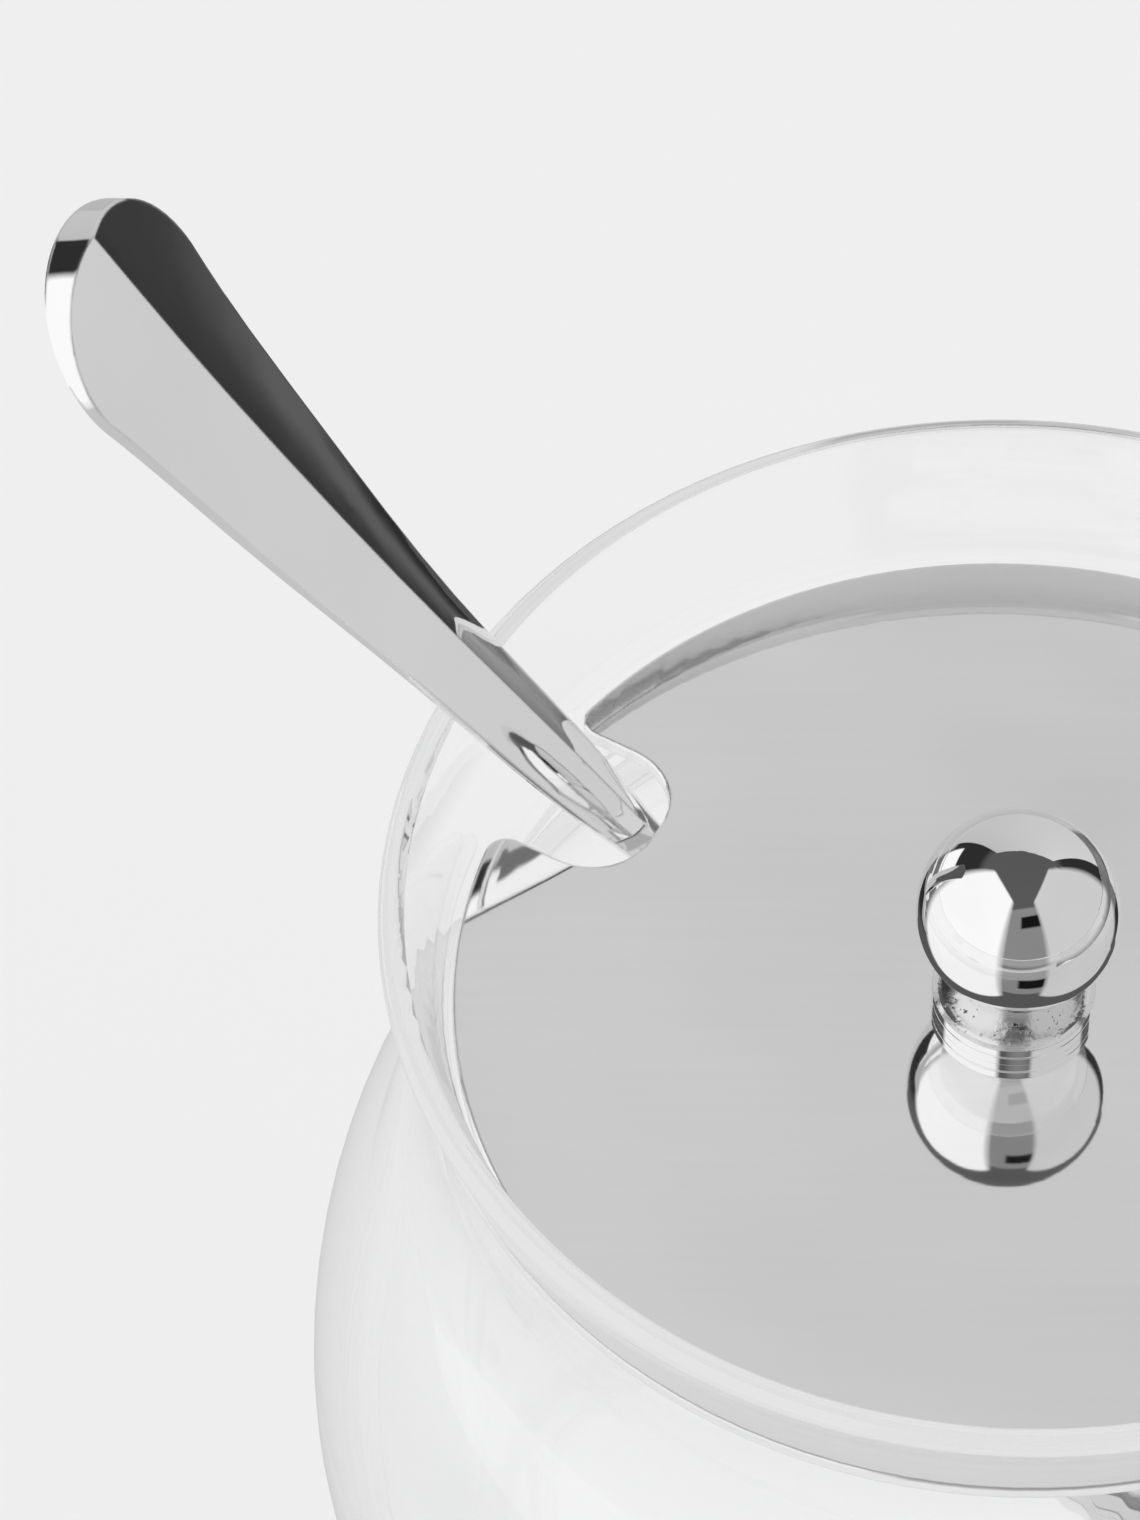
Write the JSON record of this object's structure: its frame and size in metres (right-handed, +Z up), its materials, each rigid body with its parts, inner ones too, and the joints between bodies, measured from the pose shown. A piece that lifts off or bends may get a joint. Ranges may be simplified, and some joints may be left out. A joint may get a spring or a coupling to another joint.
{
  "type": "jam pot",
  "caption": "Glass jam pot with a flared collar, a loose mirror-polished lid with a ball knob, and a spoon standing through the lid's notch.",
  "frame": {"origin": "centre of the flat foot that the pot stands on", "axes": "+Z up along the pot's axis, -X towards the lid's spoon notch"},
  "size_m": [0.1269, 0.1044, 0.1328],
  "materials": {
    "glass": "polished",
    "lid_steel": "mirror polished",
    "knob_steel": "mirror polished",
    "foot_steel": "satin",
    "screw_steel": "satin",
    "spoon_steel": "mirror polished"
  },
  "bodies": {
    "pot": {"glass_pot": "glass"},
    "lid": {"lid_plate": "lid_steel", "knob_foot": "foot_steel", "knob_ball": "knob_steel", "knob_screw": "screw_steel", "knob_washer": "screw_steel"},
    "spoon": {"spoon": "spoon_steel"}
  },
  "joints": [
    {"name": "lid_lift", "type": "slide", "parent": "pot", "child": "lid", "axis": [0, 0, 1], "range_m": [0, 0.09]},
    {"name": "spoon_lift", "type": "slide", "parent": "pot", "child": "spoon", "axis": [-0.6161, -0.1491, 0.7734], "range_m": [0, 0.035]}
  ]
}
